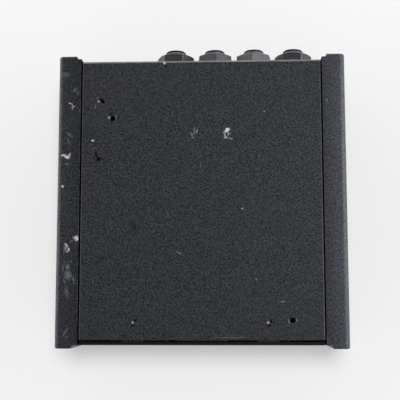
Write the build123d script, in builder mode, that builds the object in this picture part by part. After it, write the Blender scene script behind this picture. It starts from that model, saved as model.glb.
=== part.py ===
from build123d import *
import os

os.makedirs("parts", exist_ok=True)

# Two-channel passive direct injection box, millimetres.
# +Z is out of the plain face, +Y is the jack panel side, -Y the output panel side.
# z = 0 is the surface that the box lies on.

# ---------------------------------------------------------------- driving sizes
WIDTH = 134.35           # over both side rails
RAIL_LEN = 136.6         # rail length
HEIGHT = 46.0            # over both sheets
SHEET = 1.5              # folded steel sheet
RAIL_FACE = 10.7         # rail width seen on the plain face
SHEET_HALF = 55.88       # half width of the folded sheets
JACK_FACE_Y = 65.65      # outer face of the jack panel
OUT_FACE_Y = -66.7       # outer face of the output panel
FACE_FRONT_Y = -64.4     # front edge of the plain face
BACK_EDGE_Y = 63.85      # rear edge of the lower sheet
BEND_OUT = 1.2           # outer radius of the folds
BEND_IN = 0.3
EDGE_DROP = 1.0          # output panel edge below the plain face

RO = WIDTH / 2           # 67.175
RI = RO - RAIL_FACE      # 56.475
RL = RAIL_LEN / 2        # 68.3
JACK_IN_Y = JACK_FACE_Y - SHEET      # 64.15
OUT_IN_Y = OUT_FACE_Y + SHEET        # -65.2

# quarter-inch jacks
JACK_Z = 29.0
JACK_PITCH = 19.05
JACK_MID_X = 15.67
JACK_X = [JACK_MID_X + (i - 1.5) * JACK_PITCH for i in range(4)]
JACK_HOLE_R = 4.9
BARREL_R = 4.72
BORE_R = 3.25
BARREL_TIP_Y = 74.4
NUT_AF = 15.5
NUT_TURN = [4.5, 24.7, 39.2, 6.5]    # degrees from +X, one corner of each nut
WASHER_T = 0.8
NUT_H = 6.2

# corner screws of both panels
SCREW_X = 52.7
SCREW_Z = [5.8, 40.2]
M3_R = 1.45
M3_HEAD_R = 2.75

# slide switches: 3-position pads on the jack panel, 2-position lifts on the output panel
PAD_X = -36.5
PAD_Z = [30.5, 12.5]
LIFT_X = 0.0
LIFT_Z = [31.0, 14.0]
SLOT_W = 10.4
SLOT_H = 5.0
EAR_HALF = 9.5
M2_R = 1.0
M2_HEAD_R = 1.9

# male output connectors
XLR_X = [-28.0, 28.0]
XLR_Z = 22.0
XLR_SHELL_R = 11.8
XLR_HOLE_R = 12.0
XLR_CAV_R = 8.15
XLR_CAV_DEPTH = 15.0
XLR_PIN_R = 1.19
XLR_PINS = [(-3.85, 1.8), (3.85, 1.8), (0.0, -4.25)]
XLR_EARS = [(-9.5, 12.0), (9.5, -12.0)]

# circuit board
BOARD_TOP = 38.8
BOARD_T = 1.6
BOARD_LOW = BOARD_TOP - BOARD_T      # 37.2
BOARD_HALF = 49.2
BOARD_Y0 = -42.0
BOARD_Y1 = 62.0
POSTS = [(-44.0, 30.0), (44.0, 30.0), (-44.0, -36.0), (44.0, -36.0)]
XFMR_X = [-22.5, 22.5]
XFMR_Y = -6.0
XFMR_SIDE = 29.0
XFMR_H = 21.5

# holes in the plain face
DRILL_R = 1.25
DRILLED = [(-41.42, 38.06), (41.36, -55.48)]
DINGED = (-46.32, 46.45)
RIVETS = [(-31.25, -56.55), (30.3, -56.55)]
RIVET_R = 0.85


# ---------------------------------------------------------------- right rail
with BuildPart() as right_rail:
    with BuildSketch(Plane.XZ.offset(-RL)):
        with BuildLine():
            Polyline(
                (RI, HEIGHT), (RO, HEIGHT), (RO, 0), (RI, 0), (RI, 1.5),
                (53.4, 1.5), (53.4, 3.3), (RI, 3.3), (RI, 42.7), (53.4, 42.7),
                (53.4, 44.5), (RI, 44.5), (RI, HEIGHT),
            )
        make_face()
    extrude(amount=RAIL_LEN)
    # long outer edges, then the upright outer corners
    fillet(
        right_rail.edges().filter_by(Axis.Y).filter_by_position(Axis.X, RO - 0.01, RO + 0.01),
        radius=2.4,
    )
    # hollow, open to the inside, with two ribs left standing
    for y0, y1 in ((-58.0, -20.5), (-18.5, 18.5), (20.5, 57.0)):
        with BuildSketch(Plane.XY.offset(3.3)):
            with Locations((59.4, (y0 + y1) / 2)):
                Rectangle(10.4, y1 - y0)
        extrude(amount=39.4, mode=Mode.SUBTRACT)
    # screw bosses behind both panels
    with BuildSketch(Plane.XZ.offset(-JACK_IN_Y)):
        with Locations((SCREW_X, SCREW_Z[0]), (SCREW_X, SCREW_Z[1])):
            Circle(2.9)
        with Locations((55.4, 4.6), (55.4, 41.4)):
            Rectangle(3.4, 3.2)
    extrude(amount=11.0)
    with BuildSketch(Plane.XZ.offset(-(OUT_IN_Y + 11.0))):
        with Locations((SCREW_X, SCREW_Z[0]), (SCREW_X, SCREW_Z[1])):
            Circle(2.9)
        with Locations((55.4, 4.6), (55.4, 41.4)):
            Rectangle(3.4, 3.2)
    extrude(amount=11.0)
    # room for the two panels between the rails
    with BuildSketch(Plane.XY):
        with Locations((RI - 5.0, JACK_IN_Y + 5.0)):
            Rectangle(10.0, 10.0)
        with Locations((RI - 5.0, OUT_IN_Y - 5.0)):
            Rectangle(10.0, 10.0)
        # inner strip of the rail stops short at both ends
        with Locations((58.75 - 5.0, 66.85 + 5.0)):
            Rectangle(10.0, 10.0)
        with BuildLine():
            Polyline(
                (50.0, OUT_FACE_Y), (58.75, OUT_FACE_Y), (59.95, -RL), (60.3, -RL - 0.5),
                (50.0, -RL - 0.5), (50.0, OUT_FACE_Y),
            )
        make_face()
    extrude(amount=HEIGHT, mode=Mode.SUBTRACT)
    # clearance for the inside radius of both folds
    with BuildSketch(Plane.YZ.offset(50.0)):
        with Locations((JACK_IN_Y, HEIGHT - SHEET), (OUT_IN_Y, SHEET)):
            Rectangle(0.7, 0.7)
    extrude(amount=RI - 50.0, mode=Mode.SUBTRACT)
    # pilot holes for the corner screws
    with BuildSketch(Plane.XZ.offset(-JACK_IN_Y)):
        with Locations((SCREW_X, SCREW_Z[0]), (SCREW_X, SCREW_Z[1])):
            Circle(M3_R + 0.03)
    extrude(amount=9.5, mode=Mode.SUBTRACT)
    with BuildSketch(Plane.XZ.offset(-(OUT_IN_Y + 9.5))):
        with Locations((SCREW_X, SCREW_Z[0]), (SCREW_X, SCREW_Z[1])):
            Circle(M3_R + 0.03)
    extrude(amount=9.5, mode=Mode.SUBTRACT)
    # upright outer corners
    fillet(
        right_rail.edges().filter_by(Axis.Z).filter_by_position(Axis.X, RO - 0.01, RO + 0.01),
        radius=0.9,
    )
right_rail.part.label = "right_side_rail"
export_step(right_rail.part, "parts/right_side_rail.step")

with BuildPart() as left_rail:
    mirror(right_rail.part, about=Plane.YZ)
left_rail.part.label = "left_side_rail"
export_step(left_rail.part, "parts/left_side_rail.step")


# ---------------------------------------------------------------- folded sheet: plain face and jack panel
with BuildPart() as face_sheet:
    with BuildSketch(Plane.YZ.offset(-SHEET_HALF)) as face_profile:
        with BuildLine():
            Polyline(
                (FACE_FRONT_Y, HEIGHT), (JACK_FACE_Y, HEIGHT), (JACK_FACE_Y, 1.8), (JACK_IN_Y, 1.8),
                (JACK_IN_Y, HEIGHT - SHEET), (FACE_FRONT_Y, HEIGHT - SHEET), (FACE_FRONT_Y, HEIGHT),
            )
        make_face()
        fillet(face_profile.vertices().sort_by_distance((JACK_FACE_Y, HEIGHT, 0))[0], BEND_OUT)
        fillet(face_profile.vertices().sort_by_distance((JACK_IN_Y, HEIGHT - SHEET, 0))[0], BEND_IN)
    extrude(amount=2 * SHEET_HALF)
    # relief at both ends of the fold
    fillet(
        face_sheet.edges().filter_by(Axis.Z).filter_by_position(Axis.Y, JACK_FACE_Y - 0.01, JACK_FACE_Y + 0.01),
        radius=0.5,
    )
    # small radius around the cut edges of the plain face
    fillet(
        face_sheet.edges().filter_by(Axis.Y).filter_by_position(Axis.Z, HEIGHT - 0.01, HEIGHT + 0.01)
        + face_sheet.edges().filter_by(Axis.X).filter_by_position(Axis.Z, HEIGHT - 0.01, HEIGHT + 0.01)
        .filter_by_position(Axis.Y, FACE_FRONT_Y - 0.01, FACE_FRONT_Y + 0.01),
        radius=0.3,
    )
    # drilled holes in the plain face
    with BuildSketch(Plane.XY.offset(HEIGHT - SHEET)):
        with Locations(*DRILLED):
            Circle(DRILL_R)
        with Locations(*RIVETS):
            Circle(RIVET_R + 0.12)
    extrude(amount=SHEET, mode=Mode.SUBTRACT)
    # punched ding that does not go through
    with BuildSketch(Plane.XY.offset(HEIGHT - 0.9)):
        with Locations(DINGED):
            Circle(0.85)
    extrude(amount=0.9, mode=Mode.SUBTRACT)
    # seats of the clinched posts
    with BuildSketch(Plane.XY.offset(HEIGHT - SHEET)):
        with Locations(*POSTS):
            Circle(1.8)
    extrude(amount=0.9, mode=Mode.SUBTRACT)
    # jack holes, switch slots, screw holes
    with BuildSketch(Plane.XZ.offset(-JACK_FACE_Y)):
        with Locations(*[(x, JACK_Z) for x in JACK_X]):
            Circle(JACK_HOLE_R)
        with Locations(*[(PAD_X, z) for z in PAD_Z]):
            Rectangle(SLOT_W, SLOT_H)
    extrude(amount=SHEET, mode=Mode.SUBTRACT)
    with Locations(
        *[Location((sx * SCREW_X, JACK_FACE_Y, z), (-90, 0, 0)) for sx in (-1, 1) for z in SCREW_Z]
    ):
        CounterSinkHole(M3_R + 0.15, M3_HEAD_R + 0.21, SHEET, 90)
    with Locations(
        *[Location((PAD_X + sx * EAR_HALF, JACK_FACE_Y, z), (-90, 0, 0)) for sx in (-1, 1) for z in PAD_Z]
    ):
        CounterSinkHole(M2_R + 0.1, M2_HEAD_R + 0.16, SHEET, 90)
face_sheet.part.label = "folded_sheet_with_jack_panel"
export_step(face_sheet.part, "parts/folded_sheet_with_jack_panel.step")


# ---------------------------------------------------------------- folded sheet: lower face and output panel
with BuildPart() as lower_sheet:
    with BuildSketch(Plane.YZ.offset(-SHEET_HALF)) as lower_profile:
        with BuildLine():
            Polyline(
                (BACK_EDGE_Y, 0), (OUT_FACE_Y, 0), (OUT_FACE_Y, HEIGHT - EDGE_DROP), (OUT_IN_Y, HEIGHT - EDGE_DROP),
                (OUT_IN_Y, SHEET), (BACK_EDGE_Y, SHEET), (BACK_EDGE_Y, 0),
            )
        make_face()
        fillet(lower_profile.vertices().sort_by_distance((OUT_FACE_Y, 0, 0))[0], BEND_OUT)
        fillet(lower_profile.vertices().sort_by_distance((OUT_IN_Y, SHEET, 0))[0], BEND_IN)
        fillet(lower_profile.vertices().sort_by_distance((OUT_FACE_Y, HEIGHT - EDGE_DROP, 0))[0], 0.4)
    extrude(amount=2 * SHEET_HALF)
    fillet(
        lower_sheet.edges().filter_by(Axis.Z).filter_by_position(Axis.Y, OUT_FACE_Y - 0.01, OUT_FACE_Y + 0.01),
        radius=0.3,
    )
    with BuildSketch(Plane.XZ.offset(-OUT_IN_Y)):
        with Locations(*[(x, XLR_Z) for x in XLR_X]):
            Circle(XLR_HOLE_R)
        with Locations(*[(LIFT_X, z) for z in LIFT_Z]):
            Rectangle(SLOT_W, SLOT_H)
    extrude(amount=SHEET, mode=Mode.SUBTRACT)
    with Locations(
        *[Location((sx * SCREW_X, OUT_FACE_Y, z), (90, 0, 0)) for sx in (-1, 1) for z in SCREW_Z]
    ):
        CounterSinkHole(M3_R + 0.15, M3_HEAD_R + 0.21, SHEET, 90)
    with Locations(
        *[Location((x + ex, OUT_FACE_Y, XLR_Z + ez), (90, 0, 0)) for x in XLR_X for ex, ez in XLR_EARS]
    ):
        CounterSinkHole(M3_R + 0.15, M3_HEAD_R + 0.21, SHEET, 90)
    with Locations(
        *[Location((LIFT_X + sx * EAR_HALF, OUT_FACE_Y, z), (90, 0, 0)) for sx in (-1, 1) for z in LIFT_Z]
        + [Location((x, OUT_FACE_Y, 41.4), (90, 0, 0)) for x, y in RIVETS]
    ):
        CounterSinkHole(M2_R + 0.1, M2_HEAD_R + 0.16, SHEET, 90)
lower_sheet.part.label = "folded_sheet_with_output_panel"
export_step(lower_sheet.part, "parts/folded_sheet_with_output_panel.step")


# ---------------------------------------------------------------- brackets, rivets
BRK_T = 1.2
with BuildPart() as brackets:
    for bx, by in RIVETS:
        with BuildSketch(Plane.YZ.offset(bx - 5.0)):
            with BuildLine():
                Polyline(
                    (OUT_IN_Y, HEIGHT - SHEET), (-53.0, HEIGHT - SHEET), (-53.0, HEIGHT - SHEET - BRK_T),
                    (OUT_IN_Y + BRK_T, HEIGHT - SHEET - BRK_T), (OUT_IN_Y + BRK_T, 39.0), (OUT_IN_Y, 39.0),
                    (OUT_IN_Y, HEIGHT - SHEET),
                )
            make_face()
        extrude(amount=10.0)
    with BuildSketch(Plane.XY.offset(HEIGHT - SHEET - BRK_T)):
        with Locations(*RIVETS):
            Circle(RIVET_R + 0.02)
    extrude(amount=BRK_T, mode=Mode.SUBTRACT)
    with BuildSketch(Plane.XZ.offset(-OUT_IN_Y)):
        with Locations(*[(x, 41.4) for x, y in RIVETS]):
            Circle(M2_R + 0.03)
    extrude(amount=-BRK_T, mode=Mode.SUBTRACT)
brackets.part.label = "inner_angle_brackets"
export_step(brackets.part, "parts/inner_angle_brackets.step")

with BuildPart() as rivets:
    with BuildSketch(Plane.XY.offset(HEIGHT - SHEET - BRK_T)):
        with Locations(*RIVETS):
            Circle(RIVET_R)
    extrude(amount=BRK_T + 1.1)
    with BuildSketch(Plane.XY.offset(HEIGHT - SHEET - BRK_T - 1.2)):
        with Locations(*RIVETS):
            Circle(1.8)
    extrude(amount=1.2)
    chamfer(rivets.edges().filter_by(GeomType.CIRCLE).group_by(Axis.Z)[-1], 0.2)
    fillet(rivets.edges().filter_by(GeomType.CIRCLE).group_by(Axis.Z)[0], 0.6)
rivets.part.label = "bracket_rivets"
export_step(rivets.part, "parts/bracket_rivets.step")


# ---------------------------------------------------------------- countersunk screws
# one blank of each size at the origin: head face at z = 0, shank toward -Z
with BuildPart() as m3_blank:
    with BuildSketch(Plane.XZ):
        with BuildLine():
            Polyline(
                (0, 0), (M3_HEAD_R, 0), (M3_HEAD_R, -0.15), (M3_R, -0.15 - (M3_HEAD_R - M3_R)),
                (M3_R, -8.0), (M3_R - 0.6, -8.6), (0, -8.6), (0, 0),
            )
        make_face()
    revolve(axis=Axis.Z)
    with BuildSketch(Plane.XY):
        Rectangle(3.0, 0.62)
        Rectangle(0.62, 3.0)
    extrude(amount=-0.9, taper=12, mode=Mode.SUBTRACT)

with BuildPart() as m2_blank:
    with BuildSketch(Plane.XZ):
        with BuildLine():
            Polyline(
                (0, 0), (M2_HEAD_R, 0), (M2_HEAD_R, -0.1), (M2_R, -0.1 - (M2_HEAD_R - M2_R)),
                (M2_R, -4.0), (M2_R - 0.3, -4.3), (0, -4.3), (0, 0),
            )
        make_face()
    revolve(axis=Axis.Z)
    with BuildSketch(Plane.XY):
        Rectangle(2.1, 0.45)
        Rectangle(0.45, 2.1)
    extrude(amount=-0.6, taper=12, mode=Mode.SUBTRACT)

SEAT = 0.05
with BuildPart() as jack_panel_screws:
    for i, (sx, z) in enumerate([(sx, z) for sx in (-1, 1) for z in SCREW_Z]):
        add(m3_blank.part.moved(Location((sx * SCREW_X, JACK_FACE_Y - SEAT, z)) * Rotation(-90, 0, 0) * Rotation(0, 0, 17 + 31 * i)))
jack_panel_screws.part.label = "jack_panel_screws"
export_step(jack_panel_screws.part, "parts/jack_panel_screws.step")

with BuildPart() as output_panel_screws:
    for i, (sx, z) in enumerate([(sx, z) for sx in (-1, 1) for z in SCREW_Z]):
        add(m3_blank.part.moved(Location((sx * SCREW_X, OUT_FACE_Y + SEAT, z)) * Rotation(90, 0, 0) * Rotation(0, 0, 40 + 23 * i)))
output_panel_screws.part.label = "output_panel_screws"
export_step(output_panel_screws.part, "parts/output_panel_screws.step")

with BuildPart() as xlr_screws:
    for i, (x, z) in enumerate([(x + ex, XLR_Z + ez) for x in XLR_X for ex, ez in XLR_EARS]):
        add(m3_blank.part.moved(Location((x, OUT_FACE_Y + SEAT, z)) * Rotation(90, 0, 0) * Rotation(0, 0, 8 + 29 * i)))
xlr_screws.part.label = "output_socket_screws"
export_step(xlr_screws.part, "parts/output_socket_screws.step")

with BuildPart() as pad_screws:
    for i, (x, z) in enumerate([(PAD_X + sx * EAR_HALF, z) for sx in (-1, 1) for z in PAD_Z]):
        add(m2_blank.part.moved(Location((x, JACK_FACE_Y - SEAT, z)) * Rotation(-90, 0, 0) * Rotation(0, 0, 25 + 37 * i)))
pad_screws.part.label = "pad_switch_screws"
export_step(pad_screws.part, "parts/pad_switch_screws.step")

with BuildPart() as lift_screws:
    for i, (x, z) in enumerate([(LIFT_X + sx * EAR_HALF, z) for sx in (-1, 1) for z in LIFT_Z]):
        add(m2_blank.part.moved(Location((x, OUT_FACE_Y + SEAT, z)) * Rotation(90, 0, 0) * Rotation(0, 0, 12 + 33 * i)))
lift_screws.part.label = "ground_lift_switch_screws"
export_step(lift_screws.part, "parts/ground_lift_switch_screws.step")

with BuildPart() as bracket_screws:
    for i, (x, y) in enumerate(RIVETS):
        add(m2_blank.part.moved(Location((x, OUT_FACE_Y + SEAT, 41.4)) * Rotation(90, 0, 0) * Rotation(0, 0, 30 + 41 * i)))
bracket_screws.part.label = "bracket_screws"
export_step(bracket_screws.part, "parts/bracket_screws.step")


# ---------------------------------------------------------------- quarter-inch jacks
JACK_BACK_Y = 41.0
JACK_HALF = 7.7
JACK_LOW = 21.2

with BuildPart() as jack_blank:
    # housing with its chamber, axis at x = 0
    with BuildSketch(Plane.XY.offset(JACK_LOW)):
        with Locations((0, (JACK_BACK_Y + JACK_IN_Y) / 2)):
            RectangleRounded(2 * JACK_HALF, JACK_IN_Y - JACK_BACK_Y, 0.6)
    extrude(amount=BOARD_LOW - JACK_LOW)
    with BuildSketch(Plane.XY.offset(JACK_LOW)):
        with Locations((0, 51.8)):
            Rectangle(12.4, 18.6)
    extrude(amount=13.0, mode=Mode.SUBTRACT)
    # threaded barrel
    with BuildSketch(Plane.XZ.offset(-BARREL_TIP_Y)):
        with Locations((0, JACK_Z)):
            Circle(BARREL_R)
    extrude(amount=BARREL_TIP_Y - JACK_IN_Y)
    chamfer(
        jack_blank.edges().filter_by(GeomType.CIRCLE).sort_by(Axis.Y)[-1], 0.45
    )
    # thread grooves on the part of the barrel outside the nut
    with BuildSketch(Plane.XZ.offset(-(BARREL_TIP_Y - 0.9))):
        with Locations((0, JACK_Z)):
            Circle(BARREL_R + 1)
            Circle(BARREL_R - 0.18, mode=Mode.SUBTRACT)
    extrude(amount=0.3, mode=Mode.SUBTRACT)
    # plug bore through the barrel and the front wall
    with BuildSketch(Plane.XZ.offset(-BARREL_TIP_Y)):
        with Locations((0, JACK_Z)):
            Circle(BORE_R)
    extrude(amount=BARREL_TIP_Y - 61.0, mode=Mode.SUBTRACT)
    chamfer(
        jack_blank.edges().filter_by(GeomType.CIRCLE).filter_by_position(Axis.Y, BARREL_TIP_Y - 0.01, BARREL_TIP_Y + 0.01).sort_by(SortBy.RADIUS)[0],
        0.35,
    )

JACK_NAMES = ["input_1_jack", "thru_1_jack", "input_2_jack", "thru_2_jack"]

with BuildPart() as input_1_jack:
    add(jack_blank.part.moved(Location((JACK_X[0], 0, 0))))
input_1_jack.part.label = "input_1_jack_body"
export_step(input_1_jack.part, "parts/input_1_jack_body.step")

with BuildPart() as thru_1_jack:
    add(jack_blank.part.moved(Location((JACK_X[1], 0, 0))))
thru_1_jack.part.label = "thru_1_jack_body"
export_step(thru_1_jack.part, "parts/thru_1_jack_body.step")

with BuildPart() as input_2_jack:
    add(jack_blank.part.moved(Location((JACK_X[2], 0, 0))))
input_2_jack.part.label = "input_2_jack_body"
export_step(input_2_jack.part, "parts/input_2_jack_body.step")

with BuildPart() as thru_2_jack:
    add(jack_blank.part.moved(Location((JACK_X[3], 0, 0))))
thru_2_jack.part.label = "thru_2_jack_body"
export_step(thru_2_jack.part, "parts/thru_2_jack_body.step")

with BuildPart() as washers:
    with BuildSketch(Plane.XZ.offset(-(JACK_FACE_Y + WASHER_T))):
        with Locations(*[(x, JACK_Z) for x in JACK_X]):
            Circle(7.3)
            Circle(JACK_HOLE_R, mode=Mode.SUBTRACT)
    extrude(amount=WASHER_T)
washers.part.label = "jack_washers"
export_step(washers.part, "parts/jack_washers.step")

# nut blank: axis along +Y from the washer, a hexagon whose front is one long shallow cone
with BuildPart() as nut_blank:
    with BuildSketch(Plane.XZ.offset(-NUT_H)):
        nut_hexagon = RegularPolygon(NUT_AF / 2, 6, major_radius=False)
        fillet(nut_hexagon.vertices(), radius=0.35)
    extrude(amount=NUT_H)
    with BuildSketch(Plane.XY):
        with BuildLine():
            Polyline(
                (0, 0), (8.6, 0), (9.2, 0.45), (9.2, NUT_H - 1.61),
                (5.5, NUT_H), (0, NUT_H), (0, 0),
            )
        make_face()
    revolve(axis=Axis.Y, mode=Mode.INTERSECT)
    with BuildSketch(Plane.XZ.offset(-NUT_H)):
        Circle(BARREL_R + 0.03)
    extrude(amount=NUT_H, mode=Mode.SUBTRACT)

with BuildPart() as jack_nuts:
    for x, turn in zip(JACK_X, NUT_TURN):
        add(nut_blank.part.moved(Location((x, JACK_FACE_Y + WASHER_T, JACK_Z)) * Rotation(0, -turn, 0)))
jack_nuts.part.label = "jack_hex_nuts"
export_step(jack_nuts.part, "parts/jack_hex_nuts.step")

# contacts inside each jack: tip spring, sleeve spring, and their tails through the board
with BuildPart() as tip_springs:
    for x in JACK_X:
        with BuildSketch(Plane.YZ.offset(x - 1.4)):
            with BuildLine():
                Polyline(
                    (43.2, 34.2), (43.2, 32.9), (46.2, 31.2), (50.5, 32.6), (57.0, 33.2), (57.0, 33.6),
                    (50.3, 33.05), (46.2, 31.7), (43.65, 33.2), (43.65, 34.2), (43.2, 34.2),
                )
            make_face()
        extrude(amount=2.8)
tip_springs.part.label = "jack_tip_springs"
export_step(tip_springs.part, "parts/jack_tip_springs.step")

with BuildPart() as sleeve_springs:
    for x in JACK_X:
        with BuildSketch(Plane.YZ.offset(x - 1.6)):
            with BuildLine():
                Polyline(
                    (60.6, 34.2), (60.6, 32.9), (58.0, 32.35), (58.0, 32.75), (60.15, 33.2), (60.15, 34.2), (60.6, 34.2),
                )
            make_face()
        extrude(amount=3.2)
sleeve_springs.part.label = "jack_sleeve_springs"
export_step(sleeve_springs.part, "parts/jack_sleeve_springs.step")


# ---------------------------------------------------------------- output sockets (three-pin, male)
XLR_FACE_Y = OUT_FACE_Y + 0.1        # shell ends just inside the panel face
XLR_BACK_Y = -45.0

with BuildPart() as xlr_blank:
    # round shell with the flange that sits behind the panel
    with BuildSketch(Plane.XZ.offset(-XLR_BACK_Y)):
        Circle(XLR_SHELL_R)
    extrude(amount=XLR_BACK_Y - XLR_FACE_Y)
    with BuildSketch(Plane.XZ.offset(-(OUT_IN_Y + 2.0))):
        RectangleRounded(26.0, 31.0, 2.2)
        with Locations(*XLR_EARS):
            Circle(M3_R + 0.03, mode=Mode.SUBTRACT)
    extrude(amount=2.0)
    # cavity for the plug, room for the insert
    with BuildSketch(Plane.XZ.offset(-(XLR_FACE_Y + XLR_CAV_DEPTH))):
        Circle(XLR_CAV_R)
    extrude(amount=XLR_CAV_DEPTH, mode=Mode.SUBTRACT)
    with BuildSketch(Plane.XZ.offset(-XLR_BACK_Y)):
        Circle(9.6)
    extrude(amount=XLR_BACK_Y - (XLR_FACE_Y + XLR_CAV_DEPTH), mode=Mode.SUBTRACT)
    # polarising key at the top of the cavity
    with BuildSketch(Plane.XZ.offset(-(XLR_FACE_Y + XLR_CAV_DEPTH))):
        with Locations((0, XLR_CAV_R - 0.1)):
            Rectangle(2.2, 1.6)
    extrude(amount=XLR_CAV_DEPTH - 3.0)
    chamfer(
        xlr_blank.edges().filter_by(GeomType.CIRCLE).filter_by_position(Axis.Y, XLR_FACE_Y - 0.01, XLR_FACE_Y + 0.01).sort_by(SortBy.RADIUS)[0],
        0.6,
    )
    fillet(
        xlr_blank.edges().filter_by(GeomType.CIRCLE).filter_by_position(Axis.Y, XLR_FACE_Y - 0.01, XLR_FACE_Y + 0.01).sort_by(SortBy.RADIUS)[-1],
        0.4,
    )

with BuildPart() as xlr_1_shell:
    add(xlr_blank.part.moved(Location((XLR_X[0], 0, XLR_Z))))
xlr_1_shell.part.label = "output_1_socket_shell"
export_step(xlr_1_shell.part, "parts/output_1_socket_shell.step")

with BuildPart() as xlr_2_shell:
    add(xlr_blank.part.moved(Location((XLR_X[1], 0, XLR_Z))))
xlr_2_shell.part.label = "output_2_socket_shell"
export_step(xlr_2_shell.part, "parts/output_2_socket_shell.step")

INSERT_FRONT_Y = XLR_FACE_Y + XLR_CAV_DEPTH      # -51.6
with BuildPart() as xlr_inserts:
    with BuildSketch(Plane.XZ.offset(-(XLR_BACK_Y + 1.0))):
        with Locations(*[(x, XLR_Z) for x in XLR_X]):
            Circle(9.57)
    extrude(amount=XLR_BACK_Y + 1.0 - INSERT_FRONT_Y)
    with BuildSketch(Plane.XZ.offset(-(XLR_BACK_Y + 1.0))):
        with Locations(*[(x + px, XLR_Z + pz) for x in XLR_X for px, pz in XLR_PINS]):
            Circle(XLR_PIN_R + 0.01)
    extrude(amount=XLR_BACK_Y + 1.0 - INSERT_FRONT_Y, mode=Mode.SUBTRACT)
xlr_inserts.part.label = "output_socket_inserts"
export_step(xlr_inserts.part, "parts/output_socket_inserts.step")

PIN_TIP_Y = XLR_FACE_Y + 2.2
PIN_TAIL_Y = -40.0
with BuildPart() as xlr_pins:
    for x in XLR_X:
        for px, pz in XLR_PINS:
            with BuildSketch(Plane.XZ.offset(-PIN_TAIL_Y)):
                with Locations((x + px, XLR_Z + pz)):
                    Circle(XLR_PIN_R)
            extrude(amount=PIN_TAIL_Y - PIN_TIP_Y)
    fillet(xlr_pins.edges().filter_by(GeomType.CIRCLE).group_by(Axis.Y)[0], 0.9)
xlr_pins.part.label = "output_socket_pins"
export_step(xlr_pins.part, "parts/output_socket_pins.step")


# ---------------------------------------------------------------- slide switches
# steel frame behind the panel (folded tray), insulating base with terminals, moving slider
FRAME_T = 0.6
TRAY_D = 5.2

with BuildPart() as pad_frames:
    for z in PAD_Z:
        with BuildSketch(Plane.XZ.offset(-JACK_IN_Y)):
            with Locations((PAD_X, z)):
                RectangleRounded(23.6, 7.6, 1.2)
                Rectangle(SLOT_W + 2.4, SLOT_H, mode=Mode.SUBTRACT)
            with Locations((PAD_X - EAR_HALF, z), (PAD_X + EAR_HALF, z)):
                Circle(M2_R + 0.03, mode=Mode.SUBTRACT)
        extrude(amount=FRAME_T)
        with BuildSketch(Plane.XZ.offset(-(JACK_IN_Y - FRAME_T))):
            with Locations((PAD_X, z)):
                Rectangle(14.0, 7.6)
                Rectangle(SLOT_W + 2.4, 6.4, mode=Mode.SUBTRACT)
        extrude(amount=TRAY_D)
pad_frames.part.label = "pad_switch_frames"
export_step(pad_frames.part, "parts/pad_switch_frames.step")

with BuildPart() as pad_bases:
    with BuildSketch(Plane.XZ.offset(-(JACK_IN_Y - FRAME_T - TRAY_D))):
        with Locations(*[(PAD_X, z) for z in PAD_Z]):
            Rectangle(14.0, 7.6)
    extrude(amount=1.2)
    with BuildSketch(Plane.XZ.offset(-(JACK_IN_Y - FRAME_T - TRAY_D - 1.2))):
        with Locations(*[(PAD_X + dx, z + dz) for z in PAD_Z for dx in (-4.5, -1.5, 1.5, 4.5) for dz in (-1.9, 1.9)]):
            Rectangle(0.5, 1.3)
    extrude(amount=3.2)
pad_bases.part.label = "pad_switch_bases"
export_step(pad_bases.part, "parts/pad_switch_bases.step")

with BuildPart() as lift_frames:
    for z in LIFT_Z:
        with BuildSketch(Plane.XZ.offset(-(OUT_IN_Y + FRAME_T))):
            with Locations((LIFT_X, z)):
                RectangleRounded(23.6, 7.6, 1.2)
                Rectangle(SLOT_W + 2.4, SLOT_H, mode=Mode.SUBTRACT)
            with Locations((LIFT_X - EAR_HALF, z), (LIFT_X + EAR_HALF, z)):
                Circle(M2_R + 0.03, mode=Mode.SUBTRACT)
        extrude(amount=FRAME_T)
        with BuildSketch(Plane.XZ.offset(-(OUT_IN_Y + FRAME_T + TRAY_D))):
            with Locations((LIFT_X, z)):
                Rectangle(14.0, 7.6)
                Rectangle(SLOT_W + 2.4, 6.4, mode=Mode.SUBTRACT)
        extrude(amount=TRAY_D)
lift_frames.part.label = "ground_lift_switch_frames"
export_step(lift_frames.part, "parts/ground_lift_switch_frames.step")

with BuildPart() as lift_bases:
    with BuildSketch(Plane.XZ.offset(-(OUT_IN_Y + FRAME_T + TRAY_D + 1.2))):
        with Locations(*[(LIFT_X, z) for z in LIFT_Z]):
            Rectangle(14.0, 7.6)
    extrude(amount=1.2)
    with BuildSketch(Plane.XZ.offset(-(OUT_IN_Y + FRAME_T + TRAY_D + 1.2 + 3.2))):
        with Locations(*[(LIFT_X + dx, z + dz) for z in LIFT_Z for dx in (-3.5, 0, 3.5) for dz in (-1.9, 1.9)]):
            Rectangle(0.5, 1.3)
    extrude(amount=3.2)
lift_bases.part.label = "ground_lift_switch_bases"
export_step(lift_bases.part, "parts/ground_lift_switch_bases.step")

# sliders: knob through the slot, wider foot inside the tray
PAD_TRAVEL = 2.4         # each way from the middle position
LIFT_TRAVEL = 3.2        # from the rest end to the other end
KNOB_H = 4.2
with BuildPart() as pad_blank:
    with BuildSketch(Plane.XZ.offset(-(JACK_FACE_Y + 1.7))):
        Rectangle(4.6, KNOB_H)
    extrude(amount=1.7 + SHEET + FRAME_T + 1.0)
    fillet(pad_blank.faces().sort_by(Axis.Y)[-1].edges(), 0.35)
    # grip grooves across the knob
    with BuildSketch(Plane.XZ.offset(-(JACK_FACE_Y + 1.7))):
        with Locations((-1.2, 0), (0, 0), (1.2, 0)):
            Rectangle(0.4, KNOB_H + 1)
    extrude(amount=0.35, mode=Mode.SUBTRACT)
    with BuildSketch(Plane.XZ.offset(-(JACK_IN_Y - FRAME_T - 0.35))):
        Rectangle(7.2, 5.7)
    extrude(amount=4.5)

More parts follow.
